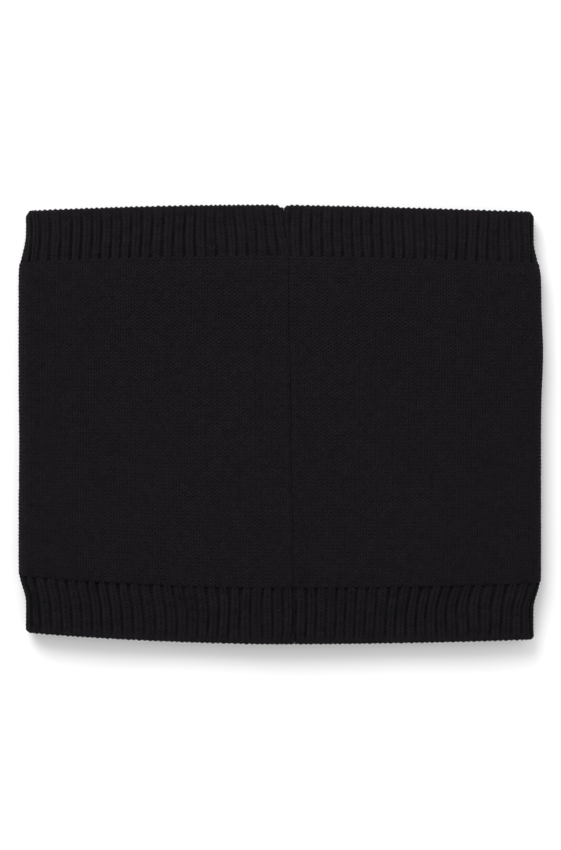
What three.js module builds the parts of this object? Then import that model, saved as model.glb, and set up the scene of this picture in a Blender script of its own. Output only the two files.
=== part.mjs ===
// A knitted neck gaiter lying flat, with its centre seam on top.
//
// Millimetres. +X runs across the gaiter's width, +Y towards the top cuff and +Z up. The origin is on the
// surface that the gaiter lies on, under its middle.
//
// A jersey panel is wrapped into a flat tube whose two long edges turn in at the centre seam and hang inside
// it as allowances. A ribbed cuff, wrapped the same way, is linked to each end of the panel. Every wrapped
// piece is a ribbon of fabric: its middle line is drawn in the XZ plane, offset by half the fabric's
// thickness to each side, and lofted along Y.

import * as THREE from 'three';

// Overall size, lying flat.
const bodyWidth = 262;
const cuffWidth = 254;
const gaiterLength = 219; // along the centre line, rim to rim
const topCuffDepth = 26;
const bottomCuffDepth = 28;
const topBow = 3.4; // how much further the middle of the top rim reaches than its corners
const bottomBow = 4.2;
const shoulderLength = 11; // the width and height change this far to each side of a join

// Fabric, and the space inside that a neck goes through.
const jerseyPly = 2.6;
const ribPly = 3.6;
const neckGap = 5.2; // between the two plies of a cuff
const bodyPuff = 1.4; // how much higher the panel stands than the cuffs

// Centre seam: it lies to the right of the middle and leans over towards the bottom rim.
const seamOffset = 5.6;
const seamLean = 0.015; // sideways travel for each millimetre of length
const allowanceDepth = 1.8; // how far an allowance hangs below its ply
const turnInside = 0.4; // inside radius where a ply turns down into its allowance
const seamThreadWidth = 0.6;
const seamThreadDepth = 2;
const seamThreadRise = 0.4; // how far the thread stands up between the plies, above their undersides
const seamThreadInset = 1; // from each rim to the thread's end

// Linking threads, each in the groove between a cuff and the panel.
const linkThreadWidth = 0.6;
const linkThreadDepth = 1.2;
const linkThreadSink = 0.5; // how far the thread lies below the fabric's outer face

// Care label, flat under the panel's upper ply and caught at the left allowance.
const labelWidth = 26;
const labelLength = 34;
const labelThickness = 0.6;
const labelCorner = 1.5;
const labelFromBottomJoin = 38; // from the bottom join to the label's nearer edge

// Between neighbouring pieces.
const clearance = 0.3;

// How finely the curved stretches are divided.
const flatSteps = 6;
const foldSteps = 8;
const turnSteps = 4;
const cuffStations = 6;
const panelStations = 16;
const threadStations = 40;

// Places that follow from the sizes above.
const topRim = gaiterLength / 2;
const bottomRim = -gaiterLength / 2;
const topJoin = topRim - topCuffDepth;
const bottomJoin = bottomRim + bottomCuffDepth;
const cuffHeight = 2 * ribPly + neckGap;
const panelHeight = cuffHeight + bodyPuff;
const seamSlit = seamThreadWidth + 2 * clearance;
const joinSlit = linkThreadWidth + 2 * clearance;

const smooth = (from, to, at) => THREE.MathUtils.smoothstep(at, from, to);
const seamAt = (y) => seamOffset - seamLean * y;

// Half the flat width at y: narrow at the rims, full in the panel.
function halfWidthAt(y) {
  const belowTop = smooth(-shoulderLength, shoulderLength, topJoin - y);
  const aboveBottom = smooth(-shoulderLength, shoulderLength, y - bottomJoin);
  return (cuffWidth + (bodyWidth - cuffWidth) * belowTop * aboveBottom) / 2;
}

// 0 in the cuffs, rising to 1 in the panel over a shoulder inside each join.
function panelShare(y) {
  return smooth(0, shoulderLength, topJoin - y) * smooth(0, shoulderLength, y - bottomJoin);
}

const heightAt = (y) => cuffHeight + bodyPuff * panelShare(y);

// The rims and joins bow outwards in the middle, so the corners are drawn back by this.
function drawnBack(x, y) {
  const along = THREE.MathUtils.clamp((y - bottomJoin) / (topJoin - bottomJoin), 0, 1);
  const bow = THREE.MathUtils.lerp(-bottomBow, topBow, along);
  return bow * (2 * x / bodyWidth) ** 2;
}

// Points of a ribbon's middle line, each with the direction that its outer face looks in.
class MiddleLine {
  points = [];

  add(x, z, nx, nz) {
    this.points.push({ x, z, nx, nz });
  }

  line(fromX, toX, z, nz, steps) {
    for (let i = 0; i <= steps; i++) {
      this.add(THREE.MathUtils.lerp(fromX, toX, i / steps), z, 0, nz);
    }
  }

  // An arc in degrees, without its two ends, which belong to the lines that it joins.
  arc(x, z, radius, from, to, steps) {
    for (let i = 1; i < steps; i++) {
      const angle = THREE.MathUtils.degToRad(THREE.MathUtils.lerp(from, to, i / steps));
      this.add(x + radius * Math.cos(angle), z + radius * Math.sin(angle), Math.cos(angle), Math.sin(angle));
    }
  }
}

// One wrap of fabric at y: from the seam over the top to the left, round underneath, and back to the seam.
// sink is how far its outer face lies inside the gaiter's, and seamGap is from the seam to its two ends.
function wrapAt(y, ply, sink, seamGap, turnsIn) {
  const height = heightAt(y);
  const foldCentre = halfWidthAt(y) - height / 2;
  const foldRadius = height / 2 - sink - ply / 2;
  const top = height / 2 + foldRadius;
  const bottom = height / 2 - foldRadius;
  const turn = turnInside + ply / 2;
  const upright = seamGap + ply / 2; // from the seam to the middle of an allowance
  const flatEnd = turnsIn ? upright + turn : seamGap;
  const hangsTo = top - ply / 2 - allowanceDepth;
  const leftEnd = seamAt(y) - flatEnd;
  const rightEnd = seamAt(y) + flatEnd;
  const wrap = new MiddleLine();
  if (turnsIn) {
    wrap.add(seamAt(y) - upright, hangsTo, 1, 0);
    wrap.add(seamAt(y) - upright, top - turn, 1, 0);
    wrap.arc(leftEnd, top - turn, turn, 0, 90, turnSteps);
  }
  wrap.line(leftEnd, -foldCentre, top, 1, flatSteps);
  wrap.arc(-foldCentre, height / 2, foldRadius, 90, 270, foldSteps);
  wrap.line(-foldCentre, foldCentre, bottom, -1, 2 * flatSteps);
  wrap.arc(foldCentre, height / 2, foldRadius, -90, 90, foldSteps);
  wrap.line(foldCentre, rightEnd, top, 1, flatSteps);
  if (turnsIn) {
    wrap.arc(rightEnd, top - turn, turn, 90, 180, turnSteps);
    wrap.add(seamAt(y) + upright, top - turn, -1, 0);
    wrap.add(seamAt(y) + upright, hangsTo, -1, 0);
  }
  return wrap.points;
}

// Closes a grid of rings into one solid: the side faces of every station, then the two end faces.
// Each ring goes round the section once, and pairs its k-th point with its k-th from the end.
function loftSolid(rings) {
  const positions = rings.flat().flatMap((p) => [p.x, p.y, p.z]);
  const around = rings[0].length;
  const last = rings.length - 1;
  const index = [];
  const quad = (a, b, c, d) => index.push(a, b, c, a, c, d);
  for (let j = 0; j < last; j++) {
    for (let i = 0; i < around; i++) {
      const next = (i + 1) % around;
      quad(j * around + i, (j + 1) * around + i, (j + 1) * around + next, j * around + next);
    }
  }
  for (let k = 0; k < around / 2 - 1; k++) {
    const pair = around - 1 - k;
    const start = last * around;
    quad(k, k + 1, pair - 1, pair);
    quad(start + k, start + pair, start + pair - 1, start + k + 1);
  }
  const geometry = new THREE.BufferGeometry();
  geometry.setAttribute('position', new THREE.Float32BufferAttribute(positions, 3));
  geometry.setIndex(index);
  geometry.computeVertexNormals();
  return geometry;
}

// A ribbon of fabric wrapped round the neck space, from station fromY to station toY.
function wrappedSolid({ fromY, toY, stations, ply, sink = 0, seamGap = seamSlit / 2, turnsIn = true }) {
  const rings = [];
  for (let j = 0; j <= stations; j++) {
    const even = j / stations;
    const y = THREE.MathUtils.lerp(fromY, toY, (1 - Math.cos(Math.PI * even)) / 2);
    const middle = wrapAt(y, ply, sink, seamGap, turnsIn);
    const face = (side) => middle.map(({ x, z, nx, nz }) => {
      const offsetX = x + side * nx * ply / 2;
      return new THREE.Vector3(offsetX, y - drawnBack(offsetX, y), z + side * nz * ply / 2);
    });
    rings.push([...face(1), ...face(-1).reverse()]);
  }
  return loftSolid(rings);
}

const jersey = new THREE.MeshStandardMaterial({ color: 0x1b191c, roughness: 0.95, metalness: 0 });
const rib = new THREE.MeshStandardMaterial({ color: 0x1a181b, roughness: 0.95, metalness: 0 });
const yarn = new THREE.MeshStandardMaterial({ color: 0x151416, roughness: 0.85, metalness: 0 });
const satin = new THREE.MeshStandardMaterial({ color: 0x28272b, roughness: 0.5, metalness: 0 });

const gaiter = new THREE.Group();

function addPiece(name, geometry, material) {
  const piece = new THREE.Mesh(geometry, material);
  piece.name = name;
  gaiter.add(piece);
  return piece;
}

function addFabric() {
  addPiece('body_panel', wrappedSolid({
    fromY: bottomJoin + joinSlit / 2,
    toY: topJoin - joinSlit / 2,
    stations: panelStations,
    ply: jerseyPly,
  }), jersey);
  addPiece('top_rib_cuff', wrappedSolid({
    fromY: topJoin + joinSlit / 2,
    toY: topRim,
    stations: cuffStations,
    ply: ribPly,
  }), rib);
  addPiece('bottom_rib_cuff', wrappedSolid({
    fromY: bottomRim,
    toY: bottomJoin - joinSlit / 2,
    stations: cuffStations,
    ply: ribPly,
  }), rib);
}

// Each linking thread goes round in the groove of its join and stops where the plies turn in at the seam.
function addLinkingThreads() {
  const joins = { top_linking_thread: topJoin, bottom_linking_thread: bottomJoin };
  for (const [name, join] of Object.entries(joins)) {
    addPiece(name, wrappedSolid({
      fromY: join - linkThreadWidth / 2,
      toY: join + linkThreadWidth / 2,
      stations: 1,
      ply: linkThreadDepth,
      sink: linkThreadSink,
      seamGap: seamSlit / 2 + ribPly + turnInside,
      turnsIn: false,
    }), yarn);
  }
}

// The seam's thread stands in the slit between the two allowances, from rim to rim, and follows the plies.
function addSeamThread() {
  const rings = [];
  for (let j = 0; j <= threadStations; j++) {
    const y = THREE.MathUtils.lerp(bottomRim + seamThreadInset, topRim - seamThreadInset, j / threadStations);
    const plyUnderside = heightAt(y) - THREE.MathUtils.lerp(ribPly, jerseyPly, panelShare(y));
    const upper = plyUnderside + seamThreadRise;
    const lower = upper - seamThreadDepth;
    const left = seamAt(y) - seamThreadWidth / 2;
    const right = seamAt(y) + seamThreadWidth / 2;
    rings.push([
      new THREE.Vector3(right, y, lower),
      new THREE.Vector3(right, y, upper),
      new THREE.Vector3(left, y, upper),
      new THREE.Vector3(left, y, lower),
    ]);
  }
  addPiece('centre_seam_thread', loftSolid(rings), yarn);
}

// A blank rectangle of satin with round corners, lying flat between the left allowance and the side fold.
function addCareLabel() {
  const upper = panelHeight - jerseyPly - clearance;
  const low = bottomJoin + labelFromBottomJoin;
  const high = low + labelLength;
  const right = seamAt(high) - seamSlit / 2 - jerseyPly - turnInside - clearance;
  const left = right - labelWidth;
  const outline = new THREE.Shape();
  outline.moveTo(right, low);
  outline.lineTo(right, high);
  outline.lineTo(left + labelCorner, high);
  outline.absarc(left + labelCorner, high - labelCorner, labelCorner, Math.PI / 2, Math.PI);
  outline.lineTo(left, low + labelCorner);
  outline.absarc(left + labelCorner, low + labelCorner, labelCorner, Math.PI, 1.5 * Math.PI);
  outline.closePath();
  const geometry = new THREE.ExtrudeGeometry(outline, {
    depth: labelThickness,
    bevelEnabled: false,
    curveSegments: 6,
  });
  addPiece('care_label', geometry, satin).position.z = upper - labelThickness;
}

addFabric();
addLinkingThreads();
addSeamThread();
addCareLabel();

export default gaiter;
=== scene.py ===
"""A black knitted neck gaiter lying flat on a pale floor, seen from straight above.

Lengths are in metres. +X runs across the gaiter, +Y towards its top cuff and +Z up, as in the CAD frame.

Each fabric piece is a shell that is wrapped once round the gaiter. A point on it is given by s, the
distance round the shell from the seam's left edge, and y, the distance along the centre line. The stitches
are real relief: every knitted leg is a small arched yarn, and what lies between the legs is sunk into the
shell.
"""

import math

import bpy
import numpy as np
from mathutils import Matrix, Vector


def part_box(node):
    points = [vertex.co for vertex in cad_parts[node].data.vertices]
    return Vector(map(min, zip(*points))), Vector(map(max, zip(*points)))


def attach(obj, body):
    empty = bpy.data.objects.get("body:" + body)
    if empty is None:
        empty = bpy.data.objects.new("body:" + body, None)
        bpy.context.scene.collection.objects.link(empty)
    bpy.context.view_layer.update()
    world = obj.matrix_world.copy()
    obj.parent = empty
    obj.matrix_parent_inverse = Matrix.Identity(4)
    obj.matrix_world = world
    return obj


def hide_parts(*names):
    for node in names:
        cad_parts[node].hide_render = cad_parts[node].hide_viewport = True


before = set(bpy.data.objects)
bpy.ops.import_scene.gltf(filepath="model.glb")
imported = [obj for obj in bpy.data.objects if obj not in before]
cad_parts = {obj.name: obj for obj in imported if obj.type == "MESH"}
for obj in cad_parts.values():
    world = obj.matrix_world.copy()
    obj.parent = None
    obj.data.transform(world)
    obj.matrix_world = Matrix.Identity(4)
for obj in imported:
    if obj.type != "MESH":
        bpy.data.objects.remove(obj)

MM = 0.001
LEFT, RIGHT = -1, 1
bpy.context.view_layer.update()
PANEL_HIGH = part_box("body_panel")[1]
TOP_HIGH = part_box("top_rib_cuff")[1]
BOTTOM_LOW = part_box("bottom_rib_cuff")[0]
SEAM_LOW, SEAM_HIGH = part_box("centre_seam_thread")
LABEL_LOW, LABEL_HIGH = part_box("care_label")

# Outline, lying flat.
HALF_WIDTH = PANEL_HIGH.x
PULL_IN = 3.9 * MM  # the rims are this much narrower than the panel on each side
PANEL_SLACK = 0.3 * MM  # the panel stops this short of the CAD box on each side
TOP_RIM = TOP_HIGH.y
BOTTOM_RIM = BOTTOM_LOW.y - 0.4 * MM
TOP_JOIN = PANEL_HIGH.y + 0.6 * MM
BOTTOM_JOIN = BOTTOM_LOW.y + 28 * MM
PANEL_HEIGHT = PANEL_HIGH.z
CUFF_HEIGHT = TOP_HIGH.z
FOLD_RADIUS = PANEL_HEIGHT / 2

# The panel rises from each join over a rounded shoulder. A higher power makes it rise sooner.
SHOULDER = 13 * MM
TOP_SHOULDER_POWER = 3
BOTTOM_SHOULDER_POWER = 2.2

# The folded edges narrow inside the cuffs, this far past the join and over twice the taper.
TOP_PAST_JOIN = {LEFT: 4.7 * MM, RIGHT: 2 * MM}
BOTTOM_PAST_JOIN = 5.5 * MM
TOP_TAPER = 10.5 * MM
BOTTOM_TAPER = 8 * MM
EDGE_SWELL = {LEFT: (-0.3 * MM, -14 * MM, 24 * MM), RIGHT: (1.0 * MM, 37 * MM, 19 * MM)}  # size, y, spread

# The rims and joins curve inwards to each side: how far at the folded edge, and the power of the curve.
TOP_BOW = {LEFT: (3.3 * MM, 2), RIGHT: (3.7 * MM, 1.2)}
BOTTOM_BOW = {LEFT: (6.1 * MM, 1.8), RIGHT: (2.5 * MM, 2)}
CORNER_DROP = 1.5 * MM
CORNER_WIDTH = 3 * MM
CORNER_REACH = 9 * MM

# How the top ply lies.
CUFF_SAG = 0.4 * MM
PANEL_SAG = 0.8 * MM
ROLL = 0.22 * MM
CUFF_ROLL = 1.6  # share by which the roll is stronger in the cuffs
CURL = 1.1 * MM  # the bottom rim curls up a little, more on the left
CURL_REACH = 15 * MM
CURL_POWER = 1.4
BOTTOM_SET_BACK = 0.7 * MM  # the lower ply's rims lie this much further in

# Fabric.
JERSEY_PLY = 2.6 * MM
RIB_PLY = 3.6 * MM
WALE = 2.73 * MM  # width of a stitch column
COURSE = 1.83 * MM  # height of a row of stitches
RIB_PITCH = 5.15 * MM
RIB_DEPTH = 1.17 * MM
LEG_HEIGHT = 0.95 * MM
LEG_RISE = 1.05 * COURSE
STITCH_SHRINK = (-0.04, 0.05)  # mean and spread of how much a stitch differs in size
STITCH_SLIDE = 0.06 * MM  # spread of how far a stitch stands aside
PLY_SLANT = 1.1  # how steeply the twisted plies cross the yarn
PLY_TWIST = 0.95 * MM  # length of a turn of the plies
JOIN_GAP = 0.02 * MM
FIRST_COURSE = 0.22 * MM  # the panel's first row under the top cuff stands up this much
JERSEY_LEG = {"foot": 0.26 * MM, "head": 1.11 * MM, "wide": 0.5 * MM, "arch": 0.45 * MM}
RIB_LEG = {"foot": 0.55 * MM, "head": 1.4 * MM, "wide": 0.64 * MM, "arch": 0.7 * MM}

# Ribs: half a ridge's width, how much narrower it is at the join, and how much each rib differs.
RIDGE_HALF = 2.05 * MM
RIDGE_PINCH = 0.5 * MM
RIDGE_SPREAD = 0.14 * MM
DEPTH_SPREAD = 0.24
DEPTH_WANDER = 0.25  # and how much a groove's depth varies along it
DEEPEST = 1.8 * MM
PURL_BUMP = 0.3 * MM
RIM_SHARE = 0.22  # share of the groove's depth that is left at the rim
RIM_SCALLOP = 0.4 * MM
RIB_WANDER = 0.4 * MM
CUFF_EASE = 18 * MM  # the cuffs are about this much shorter round than the panel

# The two cuffs differ in how deep the grooves are, how far the ribs lean left and right of the seam, the
# distance over which they fade out at the rim, how much deeper the grooves are at the join, how flush the
# stitches are there, and how much flatter everything is beside the seam.
TOP_RIBS = {
    "depth": 1, "lean": (-4.6 * MM, 0.5 * MM), "fade": 9 * MM,
    "deepen": 0.3, "flush": 0.7, "flatten": 0.6,
}
BOTTOM_RIBS = {
    "depth": 1.2, "lean": (-1.3 * MM, 0.4 * MM), "fade": 5 * MM,
    "deepen": -0.35, "flush": 0, "flatten": 0.1,
}

# Centre seam.
SEAM_MIDDLE = (SEAM_LOW.x + SEAM_HIGH.x) / 2
SEAM_SWING = (SEAM_HIGH.x - SEAM_LOW.x) / 2 - 0.3 * MM
SEAM_WAVES = ((0.22 * MM, 11 * MM, 0), (0.12 * MM, 4.3 * MM, 1))
RIM_PULL = 2.2 * MM  # the seam is drawn this far to the left at the top rim
RIM_PULL_POWER = 1.4
SEAM_SLIT = 0.06 * MM
SEAM_HOLLOW = 0.3 * MM
LIP_WIDTH = 2.1 * MM
LIP_DROP = 0.85 * MM
LIP_SHARES = (0.45, 0.35, 0.45)  # share of the drop everywhere, added in the panel, and added in its middle
LIP_COLUMNS = np.array([0, 0.12, 0.25, 0.4, 0.6, 0.8]) * MM
ALLOWANCE = 1.6 * MM
NOTCH_DEPTH = 1.5 * MM
NOTCH_WIDTH = 2.1 * MM
NOTCH_REACH = 7 * MM
LEFT_RIDGE = (0.8 * MM, -1.8 * MM, 2.6 * MM)  # the cloth beside the seam: height, distance, spread
RIGHT_RIDGE = (0.3 * MM, 2.8 * MM, 1.8 * MM)

THREAD_RADIUS = 0.2 * MM
LABEL_LEAF = 0.22 * MM


def smooth(low, high, at):
    t = np.clip((at - low) / (high - low), 0, 1)
    return t * t * (3 - 2 * t)


def bell(at, middle, spread):
    return np.exp(-(((at - middle) / spread) ** 2))


def waves(at, *parts):
    """A sum of sine waves, each given by its height, its length over 2 pi and its phase."""
    return sum(tall * np.sin(at / long + phase) for tall, long, phase in parts)


# ---- The shape that the shells are wrapped on

def panel_share(y):
    """0 in the cuffs, rising to 1 in the panel over a rounded shoulder inside each join."""
    from_top = np.clip((TOP_JOIN - y) / SHOULDER, 0, 1)
    from_bottom = np.clip((y - BOTTOM_JOIN) / SHOULDER, 0, 1)
    return (1 - (1 - from_top) ** TOP_SHOULDER_POWER) * (1 - (1 - from_bottom) ** BOTTOM_SHOULDER_POWER)


def half_width(y, side):
    """The rims draw in, and each folded edge swells or narrows a little of its own accord."""
    below_top = smooth(-TOP_TAPER, TOP_TAPER, TOP_JOIN + TOP_PAST_JOIN[side] - y)
    above_bottom = smooth(-BOTTOM_TAPER, BOTTOM_TAPER, y - BOTTOM_JOIN + BOTTOM_PAST_JOIN)
    share = below_top * above_bottom
    size, middle, spread = EDGE_SWELL[side]
    return HALF_WIDTH - PULL_IN * (1 - share) + size * bell(y, middle, spread) - PANEL_SLACK * share


def height(y):
    return CUFF_HEIGHT + (PANEL_HEIGHT - CUFF_HEIGHT) * panel_share(y)


def seam_x(y):
    """The seam leans over towards the bottom rim, and is pulled to the left at the top rim."""
    middle = (TOP_RIM + BOTTOM_RIM) / 2
    lean = SEAM_MIDDLE - SEAM_SWING * (y - middle) / (TOP_RIM - middle)
    up_cuff = np.clip((y - TOP_JOIN) / (TOP_RIM - TOP_JOIN), 0, 1)
    return lean + waves(y, *SEAM_WAVES) - RIM_PULL * up_cuff**RIM_PULL_POWER


def bow(x, ends):
    """How much further in a rim or join lies at x than on the centre line."""
    out = np.abs(x) / HALF_WIDTH
    return np.where(x < 0, ends[LEFT][0] * out ** ends[LEFT][1], ends[RIGHT][0] * out ** ends[RIGHT][1])


def rim_notch(x, y):
    """The seam pulls a notch into the top rim."""
    at_seam = bell(x, seam_x(y) - 0.3 * MM, NOTCH_WIDTH)
    return NOTCH_DEPTH * at_seam * smooth(TOP_RIM - NOTCH_REACH, TOP_RIM, y)


def corner_drop(x, y):
    """The two ends of the top rim are rounded off."""
    near_fold = smooth(-CORNER_WIDTH, 0.5 * MM, np.abs(x) - HALF_WIDTH + PULL_IN)
    return CORNER_DROP * near_fold * smooth(TOP_RIM - CORNER_REACH, TOP_RIM, y)


def drawn_back(x, y):
    """How far a point at x is drawn down from y, by the two bows, the notch and the rounded corners."""
    along = np.clip((y - BOTTOM_JOIN) / (TOP_JOIN - BOTTOM_JOIN), 0, 1)
    bows = bow(x, TOP_BOW) * along - bow(x, BOTTOM_BOW) * (1 - along)
    return bows + rim_notch(x, y) + corner_drop(x, y)


# Distances round the panel's outer face, stretch by stretch from the seam's left edge: the top ply to the
# left fold, that fold, the lower ply, the right fold and the top ply back to the seam.
STRETCHES = np.array([
    HALF_WIDTH - FOLD_RADIUS + SEAM_MIDDLE,
    math.pi * FOLD_RADIUS,
    2 * (HALF_WIDTH - FOLD_RADIUS),
    math.pi * FOLD_RADIUS,
    HALF_WIDTH - FOLD_RADIUS - SEAM_MIDDLE,
])
STRETCH_ENDS = np.cumsum(STRETCHES)
GIRTH = STRETCH_ENDS[-1]
RIBS = round((GIRTH - CUFF_EASE) / RIB_PITCH)


def from_seam(s):
    """Distance round the shell to the nearer edge of the seam."""
    return np.minimum(s, GIRTH - s)


def underneath(s):
    """0 on the top ply, rising over the folds to 1 on the ply that lies on the floor."""
    return smooth(STRETCH_ENDS[0], STRETCH_ENDS[1] + 8 * MM, from_seam(s))


def lift(x, y, flat):
    """How far the top ply is raised at x and y. flat is how far out it reaches before the folds.

    It sags, rolls gently, more so in the cuffs, stands up beside the seam and curls at its bottom rim.
    """
    inside = np.clip(1 - (x / flat) ** 4, 0, 1)
    sag = -PANEL_SAG * panel_share(y) - CUFF_SAG
    crossing = np.sin(x / (17 * MM) + 1.3) * np.sin(y / (23 * MM) + 0.4)
    slanting = np.sin(x / (41 * MM) - y / (31 * MM) + 2.1)
    roll = ROLL * (crossing + 0.7 * slanting) * (1 + CUFF_ROLL * (1 - panel_share(y)))
    beside = x - seam_x(y)
    ridges = sum(tall * bell(beside, middle, spread) for tall, middle, spread in (LEFT_RIDGE, RIGHT_RIDGE))
    near_rim = np.clip((BOTTOM_RIM + CURL_REACH - y) / CURL_REACH, 0, 1)
    curl = CURL * near_rim**CURL_POWER * (0.65 - 0.35 * x / HALF_WIDTH)
    return inside * (sag + roll + ridges * panel_share(y) + curl)


def lip_dip(x, y):
    """How far the turned-in edges roll down beside the seam, most in the middle of the panel."""
    into_lip = np.clip(1 - (np.abs(x - seam_x(y)) - SEAM_SLIT / 2) / LIP_WIDTH, 0, 1)
    everywhere, in_panel, in_middle = LIP_SHARES
    rolled = everywhere + panel_share(y) * (in_panel + in_middle * bell(y, 0, 42 * MM))
    return LIP_DROP * rolled * into_lip**2


def section(s, y, depth):
    """Places on the shell at s round it and y along it, depth inside the outer face."""
    s, y, depth = np.broadcast_arrays(s, y, depth)
    tall, seam = height(y), seam_x(y)
    radius = tall / 2
    left = -half_width(y, LEFT) + radius
    right = half_width(y, RIGHT) - radius
    share = [np.clip((s - end + long) / long, 0, 1) for long, end in zip(STRETCHES, STRETCH_ENDS)]
    stretch_number = np.searchsorted(STRETCH_ENDS[:-1], s, side="right")
    hollow = SEAM_SLIT / 2 + SEAM_HOLLOW * np.clip(depth / JERSEY_PLY - 0.4, 0, 0.6) / 0.6
    left_lip = seam - hollow
    right_lip = seam + hollow
    turned = np.where(stretch_number == 1, math.pi * (0.5 + share[1]), math.pi * (share[3] - 0.5))
    x = np.choose(stretch_number, [
        left_lip + (left - left_lip) * share[0],
        left + (radius - depth) * np.cos(turned),
        left + (right - left) * share[2],
        right + (radius - depth) * np.cos(turned),
        right + (right_lip - right) * share[4],
    ])
    outer_face = depth < tall / 5
    top = tall - depth + lift(x, y, right) - np.where(outer_face, lip_dip(x, y), 0)
    fold = radius + (radius - depth) * np.sin(turned)
    z = np.choose(stretch_number, [top, fold, depth, fold, top])
    return np.stack([x, y - drawn_back(x, y), z], axis=-1)


# ---- Stitches

def leaning_leg(out, rise, run, wide, arch):
    """Height of a leg that leans along run, at out and rise from its foot.

    Gives the distances along it and aside from its middle line too.
    """
    length = np.hypot(*run)
    along = (out * run[0] + rise * run[1]) / length
    t = np.clip(along / length, 0, 1)
    off = np.hypot(out - t * run[0], rise - t * run[1])
    round_yarn = np.sqrt(np.clip(1 - (off / wide) ** 2, 0, 1))
    crown = arch * np.sin(math.pi * (0.1 + 0.8 * t))
    tall = np.where(off < wide, (LEG_HEIGHT - arch) * round_yarn + crown, 0)
    return tall, along, (out * run[1] - rise * run[0]) / length


def knit_legs(across, up, count, rng, foot, head, wide, arch):
    """Height, tone and twist of the yarn in nested V-shaped stitches. The height is LEG_HEIGHT at most.

    across is the distance from the middle of the stitch column, up is measured in courses, and count is the
    column's number. foot and head are how far a leg's ends stand from the column's middle.
    """
    row = np.floor(up).astype(int)
    row = row - row.min()
    up = up - np.floor(up).min()
    rows, columns = row.max() + 4, count.max() + 1
    tone = rng.normal(0, 1, (rows, columns))
    size = 1 + np.clip(rng.normal(*STITCH_SHRINK, (rows, columns)), -0.2, 0)
    slide = rng.normal(0, STITCH_SLIDE, (rows, columns))
    run = np.array([head - foot, LEG_RISE])
    best = np.zeros(np.broadcast(across, up).shape)
    best_tone, best_twist = np.zeros_like(best), np.zeros_like(best)
    for below in (-1, 0, 1, 2):
        k = row - below
        mine = (np.clip(k, -1, rows - 2) + 1, count)
        for side in (LEFT, RIGHT):
            out = side * (across - slide[mine]) - foot
            leg, along, aside = leaning_leg(out, (up - k) * COURSE, run, wide, arch)
            leg = leg * size[mine]
            higher = leg > best
            best = np.where(higher, leg, best)
            best_tone = np.where(higher, tone[mine], best_tone)
            best_twist = np.where(higher, along + PLY_SLANT * side * aside, best_twist)
    return best, best_tone, best_twist


def jersey(s, y, rng):
    """Stockinette: every column is a knit wale. Gives how far the face lies below the crowns."""
    wales = round(GIRTH / WALE)
    wale = np.clip(s / GIRTH * wales, 0, wales - 1e-6)
    count = np.floor(wale).astype(int)
    across = (wale - count - 0.5) * WALE
    legs, tone, twist = knit_legs(across, (y - BOTTOM_JOIN) / COURSE, count, rng, **JERSEY_LEG)
    return LEG_HEIGHT - legs, tone, twist


def seam_drift(s, y, join, rim):
    """How far right a cuff's cloth is carried by the seam, and in the top cuff by its widening too."""
    side = np.where(s < GIRTH / 2, LEFT, RIGHT)
    reach = np.clip(from_seam(s) / np.where(side < 0, STRETCHES[0], STRETCHES[-1]), 0, 1)
    drift = (seam_x(y) - seam_x(join)) * (1 - reach)
    if rim > join:
        left_widening = half_width(y, LEFT) - half_width(rim, LEFT)
        right_widening = half_width(y, RIGHT) - half_width(rim, RIGHT)
        drift = drift + side * reach * np.where(side < 0, left_widening, right_widening)
    return drift


def rib_style(join, rim):
    return TOP_RIBS if rim > join else BOTTOM_RIBS


def rib_place(s, y, join, rim):
    """Number of ribs from the seam.

    They stand nearly upright, though the cuff widens and the seam leans, and vary a little in width.
    """
    to_rim = np.clip((y - join) / (rim - join), 0, 1)
    lean_left, lean_right = rib_style(join, rim)["lean"]
    left_lean = lean_left * bell(from_seam(s), 0, 24 * MM)
    right_lean = lean_right * bell(from_seam(s), 0, 40 * MM)
    lean = np.where(s < GIRTH / 2, left_lean, right_lean) * to_rim
    uneven = waves(s, (0.7 * MM, 21 * MM, 1), (0.35 * MM, 8.3 * MM, join / MM))
    changing_phase = 2.5 * np.sin(s / (33 * MM)) + s / (12 * MM)
    wander = waves(y, (RIB_WANDER, 5.5 * MM, changing_phase))
    return (s + lean - seam_drift(s, y, join, rim) + uneven + wander) / GIRTH * RIBS + 1


def rib(s, y, join, rim, rng):
    """One by one rib: each knit wale stands up as a ridge, and the purl wales sink between them."""
    style = rib_style(join, rim)
    place = np.clip(rib_place(s, y, join, rim), 0, RIBS + 3)
    count = np.floor(place).astype(int)
    across = (place - count - 0.5) * RIB_PITCH
    from_rim, from_join = np.abs(rim - y), np.abs(y - join)
    legs, tone, twist = knit_legs(across, from_join / COURSE, count, rng, **RIB_LEG)
    deep = RIB_DEPTH * (1 + DEPTH_SPREAD * rng.normal(0, 1, RIBS + 4)[count])
    deep = deep * style["depth"] * (1 + DEPTH_WANDER * np.sin(y / (2.6 * MM) + 2.4 * place))
    deep = np.minimum(deep * (1 + style["deepen"] * smooth(4.5 * MM, 0, from_join)), DEEPEST)
    half = RIDGE_HALF - RIDGE_PINCH * smooth(11 * MM, 1 * MM, from_join)
    half = half + RIDGE_SPREAD * rng.normal(0, 1, RIBS + 4)[count]
    ridge = smooth(half + 0.6 * MM, half - 0.9 * MM, np.abs(across))
    purl = PURL_BUMP * (0.5 + 0.5 * np.cos(2 * math.pi * from_join / COURSE)) * (1 - ridge)
    sunk = RIM_SHARE + (1 - RIM_SHARE) * smooth(0.5 * MM, style["fade"], from_rim)
    valleys = (LEG_HEIGHT - legs) * (1 - style["flush"] * smooth(1.5 * MM, 0, from_join))
    recess = (deep * (1 - ridge) + valleys - purl) * sunk + 0.25 * valleys * (1 - sunk)
    tucked = 0.1 * MM * smooth(3.5 * MM, 0, from_join)
    flatter = style["flatten"] * smooth(1.8 * MM, 0, from_seam(s))
    return (recess + tucked) * (1 - flatter), tone, twist


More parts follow.
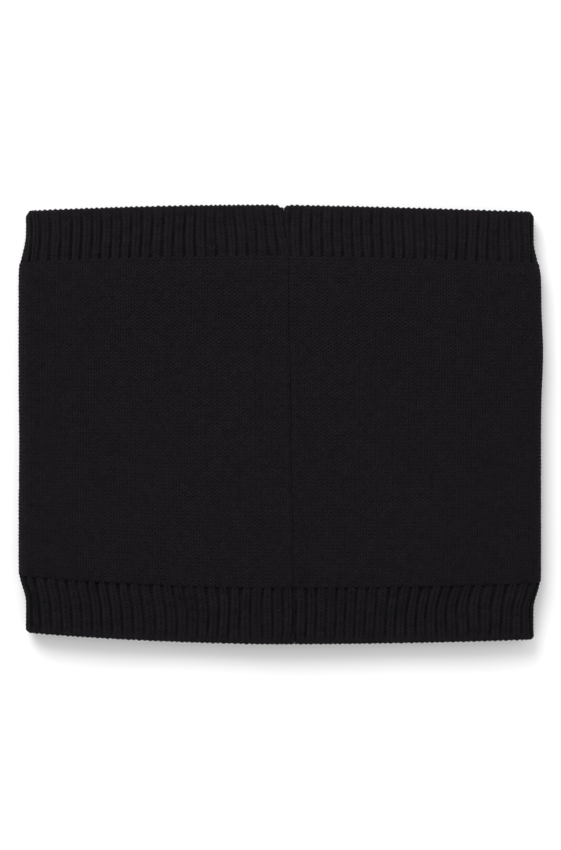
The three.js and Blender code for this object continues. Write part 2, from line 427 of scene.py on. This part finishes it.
# ---- Meshes

def band(start, number):
    """A thin band of the bake map, for the strip along an edge."""
    low = start + 0.02 * number
    return low, low + 0.01


class Shell:
    """Gathers grids of points and the strips between them into one closed mesh."""

    def __init__(self):
        self.points, self.faces, self.maps, self.tones, self.twists = [], [], [], [], []
        self.count = 0

    def grid(self, points, tone, twist, rect, flip):
        """Adds a grid of quads and returns its point numbers. rect is its place on the bake map."""
        m, n = points.shape[:2]
        ids = self.count + np.arange(m * n).reshape(m, n)
        self.count += m * n
        self.points.append(points.reshape(-1, 3))
        self.tones.append(np.broadcast_to(tone, (m, n)).ravel())
        self.twists.append(np.broadcast_to(twist, (m, n)).ravel())
        quads = np.stack([ids[:-1, :-1], ids[:-1, 1:], ids[1:, 1:], ids[1:, :-1]], axis=-1)
        u0, v0, u1, v1 = rect
        u, v = np.meshgrid(np.linspace(u0, u1, n), np.linspace(v0, v1, m))
        uv = np.stack([u, v], axis=-1)
        corners = np.stack([uv[:-1, :-1], uv[:-1, 1:], uv[1:, 1:], uv[1:, :-1]], axis=2)
        if flip:
            quads, corners = quads[..., ::-1], corners[:, :, ::-1]
        self.faces.append(quads.reshape(-1, 4))
        self.maps.append(corners.reshape(-1, 4, 2))
        return ids

    def strip(self, a, b, at_a, at_b, band, flip):
        """Joins two edges, whose points stand at at_a and at_b along them, with triangles."""
        i, j, triangles, uvs = 0, 0, [], []
        v0, v1 = band
        span = at_a[-1] - at_a[0]
        u_a, u_b = 0.01 + 0.98 * (at_a - at_a[0]) / span, 0.01 + 0.98 * (at_b - at_a[0]) / span
        while i < len(a) - 1 or j < len(b) - 1:
            if j == len(b) - 1 or (i < len(a) - 1 and u_a[i + 1] <= u_b[j + 1]):
                triangles.append((a[i], a[i + 1], b[j]))
                uvs.append(((u_a[i], v0), (u_a[i + 1], v0), (u_b[j], v1)))
                i += 1
            else:
                triangles.append((a[i], b[j + 1], b[j]))
                uvs.append(((u_a[i], v0), (u_b[j + 1], v1), (u_b[j], v1)))
                j += 1
        triangles, uvs = np.array(triangles), np.array(uvs)
        if flip:
            triangles, uvs = triangles[:, ::-1], uvs[:, ::-1]
        self.faces.append(triangles)
        self.maps.append(uvs)

    def close(self, over, under, along_over, along_under, up_over, up_under, start):
        """Closes all four edges between an outer and an inner grid."""
        self.strip(over[0], under[0], along_over, along_under, band(start, 0), False)
        self.strip(over[-1], under[-1], along_over, along_under, band(start, 1), True)
        self.strip(over[:, 0], under[:, 0], up_over, up_under, band(start, 2), True)
        self.strip(over[:, -1], under[:, -1], up_over, up_under, band(start, 3), False)

    def plain_mesh(self, name):
        mesh = bpy.data.meshes.new(name)
        points = np.concatenate(self.points)
        sizes = np.concatenate([np.full(len(f), f.shape[1]) for f in self.faces])
        loops = np.concatenate([f.ravel() for f in self.faces])
        mesh.vertices.add(len(points))
        mesh.vertices.foreach_set("co", points.astype(np.float32).ravel())
        mesh.loops.add(len(loops))
        mesh.loops.foreach_set("vertex_index", loops.astype(np.int32))
        mesh.polygons.add(len(sizes))
        starts = np.concatenate([[0], np.cumsum(sizes)[:-1]])
        mesh.polygons.foreach_set("loop_start", starts.astype(np.int32))
        mesh.update(calc_edges=True)
        mesh.shade_smooth()
        return mesh

    def build(self, name, material):
        mesh = self.plain_mesh(name)
        uv = mesh.uv_layers.new(name="OFBake")
        uv.data.foreach_set("uv", np.concatenate([m.reshape(-1) for m in self.maps]).astype(np.float32))
        for key, values in (("tone", self.tones), ("twist", self.twists)):
            attribute = mesh.attributes.new(key, "FLOAT", "POINT")
            attribute.data.foreach_set("value", np.concatenate(values).astype(np.float32))
        return add_piece(mesh, material)


def add_piece(mesh, material):
    mesh.materials.append(material)
    piece = bpy.data.objects.new(mesh.name, mesh)
    bpy.context.scene.collection.objects.link(piece)
    return piece


def columns(fine, coarse):
    """Places round the shell: close together on top and round the folds, wider apart underneath."""
    ends = [LIP_COLUMNS[-1] + fine, STRETCH_ENDS[1], STRETCH_ENDS[2], GIRTH - LIP_COLUMNS[-1] - fine]
    spans = [(ends[0], ends[1], fine), (ends[1], ends[2], coarse), (ends[2], ends[3], fine)]
    parts = [np.linspace(a, b, max(2, round((b - a) / step)), endpoint=False) for a, b, step in spans]
    return np.concatenate([LIP_COLUMNS, *parts, GIRTH - LIP_COLUMNS[::-1]])[None, :]


def seam_allowance(s):
    """How far the turned-in edges hang below the inner face, next to the seam."""
    return ALLOWANCE * (1 - smooth(0.4 * MM, 2.4 * MM, from_seam(s)))


def body_panel(material):
    rng = np.random.default_rng(11)
    s = columns(WALE / 8, WALE / 4)
    low, high = BOTTOM_JOIN + JOIN_GAP, TOP_JOIN - JOIN_GAP
    y = np.linspace(low, high, round((high - low) / COURSE * 5))[:, None]
    recess, tone, twist = jersey(s, y, rng)
    recess = recess * (1 - 0.5 * bell(y, high, 0.7 * MM))
    raised = FIRST_COURSE * bell(y, high, 1.4 * MM) * (1 - underneath(s))
    shell = Shell()
    over = shell.grid(section(s, y, recess - raised), tone, twist, (0.01, 0.01, 0.99, 0.6), True)
    s_in, y_in, depth = inner_face(low, high)
    under = shell.grid(section(s_in, y_in, depth), 0, 0, (0.01, 0.72, 0.99, 0.98), False)
    wall = y_in[:, 0].copy()
    wall[0], wall[-1] = low - 1e-6, high + 1e-6
    shell.close(over, under, s[0], s_in[0], y[:, 0], wall, 0.62)
    return shell.build("panel_knit", material)


def inner_face(low, high):
    """The panel's plain inner face. At each join it turns into a hollow, which holds the linking yarn."""
    s_in = columns(WALE / 2, WALE)
    hollow = 0.35 * MM
    y_in = np.concatenate([[low + hollow], np.linspace(low, high, 61), [high - hollow]])[:, None]
    depth = np.full((len(y_in), s_in.shape[1]), JERSEY_PLY)
    depth[1:-1] += seam_allowance(s_in)
    depth[[0, -1]] = JERSEY_PLY / 2
    return s_in, y_in, depth


def rib_cuff(name, join, rim, seed, shade, material):
    """A cuff in one grid: from its join up the outside, over the rim and back down the inside."""
    rng = np.random.default_rng(seed)
    to_rim = 1 if rim > join else -1
    s = columns(RIB_PITCH / 14, RIB_PITCH / 10)
    turn = RIB_PLY / 2
    long = abs(rim - join) - turn
    outside = np.linspace(JOIN_GAP, long, round(long / (COURSE / 5)))
    angle = np.linspace(0, math.pi, 19)[1:-1]
    inside = np.linspace(long, JOIN_GAP, round(long / (0.8 * MM)))
    travel = np.concatenate([outside, np.full(len(angle), long), inside])[:, None]
    angles = np.concatenate([np.zeros(len(outside)), angle, np.full(len(inside), math.pi)])[:, None]
    inwards = (1 - np.cos(angles)) / 2
    y_cloth = join + to_rim * (travel + turn * np.sin(angles))
    recess, tone, twist = rib(s, y_cloth, join, rim, rng)
    recess_in, _, _ = rib(s + RIB_PITCH / 2, y_cloth, join, rim, rng)
    strands = np.cos(4 * math.pi * rib_place(s, y_cloth, join, rim))
    scallop = RIM_SCALLOP * strands * np.sin(angles) ** 3
    reach = turn - recess * (1 - inwards) - 0.6 * recess_in * inwards + scallop
    set_back = BOTTOM_SET_BACK * underneath(s) * travel / long
    y = join + to_rim * (travel + reach * np.sin(angles) - set_back)
    depth = turn - reach * np.cos(angles) + seam_allowance(s) * inwards
    shell = Shell()
    flip = to_rim > 0
    # shade moves the tone of the whole cuff, so that its colour is a little darker or lighter throughout
    tone, twist = tone * (1 - inwards) + shade, twist * (1 - inwards)
    over = shell.grid(section(s, y, depth), tone, twist, (0.01, 0.01, 0.99, 0.8), flip)
    close_cuff(shell, over, len(outside) + len(angle) // 2, s[0], flip)
    return shell.build(name, material)


def close_cuff(shell, over, middle, s, flip):
    """Closes the join, and the two edges at the seam, whose outer and inner halves meet at row middle."""
    outer, inner = over[:middle], over[:middle - 1:-1]
    at_outer = np.arange(len(outer)) / (len(outer) - 1)
    at_inner = np.arange(len(inner)) / (len(inner) - 1)
    shell.strip(over[0], over[-1], s, s, band(0.82, 0), not flip)
    shell.strip(outer[:, 0], inner[:, 0], at_outer, at_inner, band(0.82, 2), flip)
    shell.strip(outer[:, -1], inner[:, -1], at_outer, at_inner, band(0.82, 4), not flip)


def rings_along(path, radius, sides):
    """Rings of points round a path, turned as little as possible from one to the next."""
    ahead = np.gradient(path, axis=0)
    ahead /= np.linalg.norm(ahead, axis=1, keepdims=True)
    start = np.array([0.0, 0.0, 1.0]) if abs(ahead[0, 2]) < 0.9 else np.array([1.0, 0.0, 0.0])
    across = np.empty_like(path)
    for i, forward in enumerate(ahead):
        start = start - forward * start.dot(forward)
        start = start / np.linalg.norm(start)
        across[i] = start
    third = np.cross(ahead, across)
    turn = np.linspace(0, 2 * math.pi, sides, endpoint=False)[None, :, None]
    return path[:, None] + radius * (np.cos(turn) * across[:, None] + np.sin(turn) * third[:, None])


def tube_map(m, sides):
    """The bake map of a tube of m rings: its side unrolled, and its two round ends beside it."""
    u, v = np.meshgrid(np.linspace(0.02, 0.9, sides + 1), np.linspace(0.02, 0.98, m))
    grid = np.stack([u, v], axis=-1)
    corners = np.stack([grid[:-1, :-1], grid[:-1, 1:], grid[1:, 1:], grid[1:, :-1]], axis=2).reshape(-1, 2)
    turn = np.linspace(0, 2 * math.pi, sides, endpoint=False)
    round_cap = 0.02 * np.stack([np.cos(turn), np.sin(turn)], axis=-1)
    return np.concatenate([corners, round_cap + (0.95, 0.3), round_cap + (0.95, 0.6)])


def tube(name, path, radius, material, sides=8):
    """A round yarn along a path of points, with closed ends."""
    m = len(path)
    ids = np.arange(m * sides).reshape(m, sides)
    shifted = np.roll(ids, -1, axis=1)
    quads = np.stack([ids[:-1], shifted[:-1], shifted[1:], ids[1:]], axis=-1).reshape(-1, 4)
    caps = [list(ids[0, ::-1]), list(ids[-1])]
    mesh = bpy.data.meshes.new(name)
    mesh.from_pydata(rings_along(path, radius, sides).reshape(-1, 3), [], quads.tolist() + caps)
    mesh.shade_smooth()
    uv = mesh.uv_layers.new(name="OFBake")
    uv.data.foreach_set("uv", tube_map(m, sides).astype(np.float32).ravel())
    return add_piece(mesh, material)


def seam_thread(material):
    """The yarn that closes the seam waves up and down once in every two courses."""
    y = np.arange(BOTTOM_RIM + 1.5 * MM, TOP_RIM - 2 * MM, COURSE / 6)
    depth = 2.15 * MM + 0.15 * MM * np.sin(math.pi * y / COURSE)
    x = seam_x(y)
    path = np.stack([x, y - drawn_back(x, y), height(y) - depth], axis=-1)
    return tube("seam_yarn", path, THREAD_RADIUS, material)


def linking_thread(name, join, material):
    """The yarn that links a cuff to the panel runs round the join, between the two edges."""
    s = np.arange(1.2 * MM, GIRTH - 1.2 * MM, RIB_PITCH / 10)
    depth = JERSEY_PLY / 2 + 0.1 * MM * np.sin(4 * math.pi * s / RIB_PITCH)
    return tube(name, section(s, join, depth), THREAD_RADIUS, material)


def label_leaves(inset):
    """A line round the folded ribbon seen end on: along its upper leaf, round the fold and back."""
    middle = (LABEL_LOW.z + LABEL_HIGH.z) / 2
    roll = (LABEL_HIGH.z - LABEL_LOW.z) / 2
    across = np.linspace(LABEL_HIGH.x, LABEL_LOW.x + roll, 40)
    bend = np.linspace(0, math.pi, 13)[1:-1]
    r = roll - inset
    x = np.concatenate([across, LABEL_LOW.x + roll - r * np.sin(bend), across[::-1]])
    z = np.concatenate([np.full(40, middle + r), middle + r * np.cos(bend), np.full(40, middle - r)])
    return x, z


def care_label(material):
    """A blank ribbon, folded in half at its free end, hanging flat inside the panel."""
    y = np.linspace(LABEL_LOW.y, LABEL_HIGH.y, 30)[:, None]
    shell = Shell()
    grids = []
    faces = ((0, (0.01, 0.01, 0.99, 0.4), True), (LABEL_LEAF, (0.01, 0.5, 0.99, 0.9), False))
    for inset, map_place, flip in faces:
        x, z = label_leaves(inset)
        wave = 0.12 * MM * np.sin(y / (6 * MM)) * (LABEL_HIGH.x - x) / (LABEL_HIGH.x - LABEL_LOW.x)
        points = np.stack(np.broadcast_arrays(x[None, :], y, z[None, :] + wave), axis=-1)
        grids.append(shell.grid(points, 0, 0, map_place, flip))
    at = np.arange(len(x)) / (len(x) - 1)
    shell.close(*grids, at, at, y[:, 0], y[:, 0], 0.42)
    return shell.build("blank_label", material)


# ---- Materials

def new_material(name):
    material = bpy.data.materials.new(name)
    material.use_nodes = True
    return material, material.node_tree.nodes, material.node_tree.links


def math_node(nodes, operation, **values):
    """A Math node. A value is given for a socket by its number, as _0 or _1."""
    node = nodes.new("ShaderNodeMath")
    node.operation = operation
    for place, value in values.items():
        node.inputs[int(place[1:])].default_value = value
    return node


def attribute_node(nodes, name):
    node = nodes.new("ShaderNodeAttribute")
    node.attribute_name = name
    return node


def bump_node(nodes, strength, distance):
    node = nodes.new("ShaderNodeBump")
    node.inputs["Strength"].default_value = strength
    node.inputs["Distance"].default_value = distance
    return node


def yarn_colour(nodes, links, fibres, dark, light, stitch_tone):
    """Black that varies between dark and light, from stitch to stitch and with the fibres."""
    tone = attribute_node(nodes, "tone")
    shade = math_node(nodes, "MULTIPLY_ADD", _1=stitch_tone)
    links.new(tone.outputs["Fac"], shade.inputs[0])
    links.new(fibres.outputs["Fac"], shade.inputs[2])
    ramp = nodes.new("ShaderNodeValToRGB")
    for stop, place, colour in zip(ramp.color_ramp.elements, (0.3, 0.7), (dark, light)):
        stop.position = place
        stop.color = (*colour, 1)
    links.new(shade.outputs[0], ramp.inputs["Fac"])
    return ramp.outputs["Color"]


def yarn_bump(nodes, links, fibres):
    """Fine relief of the twisted plies and the fibres. twist runs along the yarn and slants across it."""
    twist = attribute_node(nodes, "twist")
    turns = math_node(nodes, "MULTIPLY", _1=2 * math.pi / PLY_TWIST)
    links.new(twist.outputs["Fac"], turns.inputs[0])
    plies = math_node(nodes, "SINE")
    links.new(turns.outputs[0], plies.inputs[0])
    raised = math_node(nodes, "MULTIPLY_ADD", _1=0.35)
    links.new(plies.outputs[0], raised.inputs[0])
    links.new(fibres.outputs["Fac"], raised.inputs[2])
    bump = bump_node(nodes, 0.6, 0.12 * MM)
    links.new(raised.outputs[0], bump.inputs["Height"])
    return bump.outputs["Normal"]


def yarn_material(name, dark, light, stitch_tone=0.03):
    """Matt black yarn: a tone for each stitch, twisted plies and fine fibres."""
    material, nodes, links = new_material(name)
    shader = nodes["Principled BSDF"]
    shader.inputs["Roughness"].default_value = 0.92
    shader.inputs["Specular IOR Level"].default_value = 0.06
    shader.inputs["Sheen Weight"].default_value = 0.03
    shader.inputs["Sheen Roughness"].default_value = 0.45
    where = nodes.new("ShaderNodeTexCoord")
    fibres = nodes.new("ShaderNodeTexNoise")
    fibres.inputs["Scale"].default_value = 1500
    fibres.inputs["Detail"].default_value = 4
    fibres.inputs["Roughness"].default_value = 0.7
    links.new(where.outputs["Object"], fibres.inputs["Vector"])
    links.new(yarn_colour(nodes, links, fibres, dark, light, stitch_tone), shader.inputs["Base Color"])
    links.new(yarn_bump(nodes, links, fibres), shader.inputs["Normal"])
    return material


def satin_material(name):
    """Black satin ribbon with a fine woven grain."""
    material, nodes, links = new_material(name)
    shader = nodes["Principled BSDF"]
    shader.inputs["Base Color"].default_value = (0.021, 0.02, 0.023, 1)
    shader.inputs["Roughness"].default_value = 0.42
    shader.inputs["Specular IOR Level"].default_value = 0.3
    where = nodes.new("ShaderNodeTexCoord")
    weave = nodes.new("ShaderNodeTexWave")
    weave.inputs["Scale"].default_value = 900
    weave.inputs["Distortion"].default_value = 0.6
    links.new(where.outputs["Object"], weave.inputs["Vector"])
    bump = bump_node(nodes, 0.3, 0.05 * MM)
    links.new(weave.outputs["Fac"], bump.inputs["Height"])
    links.new(bump.outputs["Normal"], shader.inputs["Normal"])
    return material


def floor_material():
    material, nodes, _ = new_material("pale_floor")
    shader = nodes["Principled BSDF"]
    shader.inputs["Base Color"].default_value = (0.94, 0.94, 0.94, 1)
    shader.inputs["Roughness"].default_value = 0.9
    shader.inputs["Specular IOR Level"].default_value = 0.0
    return material


# ---- The setting

def add_floor():
    bpy.ops.mesh.primitive_plane_add(size=12, location=(0, 0, 0))
    floor = bpy.context.object
    floor.name = "floor"
    floor.data.materials.append(floor_material())


def add_camera():
    """Straight above, so far away that the outline is nearly in parallel projection."""
    data = bpy.data.cameras.new("camera")
    data.lens = 100
    camera = bpy.data.objects.new("camera", data)
    shown = 425 * MM  # height of the picture at the gaiter
    away = shown / data.sensor_width * data.lens
    camera.location = (0.35 * MM, -0.5 * MM, CUFF_HEIGHT / 2 + away)
    bpy.context.scene.collection.objects.link(camera)
    bpy.context.scene.camera = camera


def add_lamp(name, size, energy, place):
    """A soft round lamp that faces the gaiter."""
    data = bpy.data.lights.new(name, "AREA")
    data.shape = "DISK"
    data.size = size
    data.energy = energy
    lamp = bpy.data.objects.new(name, data)
    lamp.location = place
    lamp.rotation_mode = "QUATERNION"
    lamp.rotation_quaternion = lamp.location.to_track_quat("Z", "Y")
    bpy.context.scene.collection.objects.link(lamp)


def add_light():
    """A big lamp beyond the top rim and to the left, a weak one on the right and a white surround."""
    world = bpy.data.worlds.new("surround")
    bpy.context.scene.world = world
    world.use_nodes = True
    world.node_tree.nodes["Background"].inputs["Color"].default_value = (1, 1, 1, 1)
    world.node_tree.nodes["Background"].inputs["Strength"].default_value = 0.8
    towards = np.array([-0.35, 0.75, 0.66])
    add_lamp("softbox", 1.3, 27, 1.8 * towards / np.linalg.norm(towards))
    add_lamp("fill", 1.0, 3, (1.5, 0.3, 0.7))


# ---- Putting it together

def stands_for(piece, node):
    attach(piece, "root")
    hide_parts(node)


add_camera()
add_light()
add_floor()
bpy.context.scene.view_settings.view_transform = "Standard"

jersey_black = yarn_material("jersey_knit", (0.0040, 0.0032, 0.0042), (0.0117, 0.0093, 0.0120), 0.035)
rib_black = yarn_material("rib_knit", (0.0039, 0.0036, 0.0045), (0.0122, 0.0097, 0.0125), 0.05)
thread_black = yarn_material("joining_yarn", (0.0028, 0.0024, 0.0029), (0.0070, 0.0058, 0.0072))
satin_black = satin_material("label_satin")

panel = body_panel(jersey_black)
top_cuff = rib_cuff("top_cuff_knit", TOP_JOIN, TOP_RIM, 21, 0, rib_black)
# The bottom cuff's colour is made a little darker than the top cuff's.
bottom_cuff = rib_cuff("bottom_cuff_knit", BOTTOM_JOIN, BOTTOM_RIM, 31, -0.9, rib_black)
top_link = linking_thread("top_linking_yarn", TOP_JOIN, thread_black)
bottom_link = linking_thread("bottom_linking_yarn", BOTTOM_JOIN, thread_black)
seam = seam_thread(thread_black)
label = care_label(satin_black)

stands_for(panel, "body_panel")
stands_for(top_cuff, "top_rib_cuff")
stands_for(bottom_cuff, "bottom_rib_cuff")
stands_for(top_link, "top_linking_thread")
stands_for(bottom_link, "bottom_linking_thread")
stands_for(seam, "centre_seam_thread")
stands_for(label, "care_label")
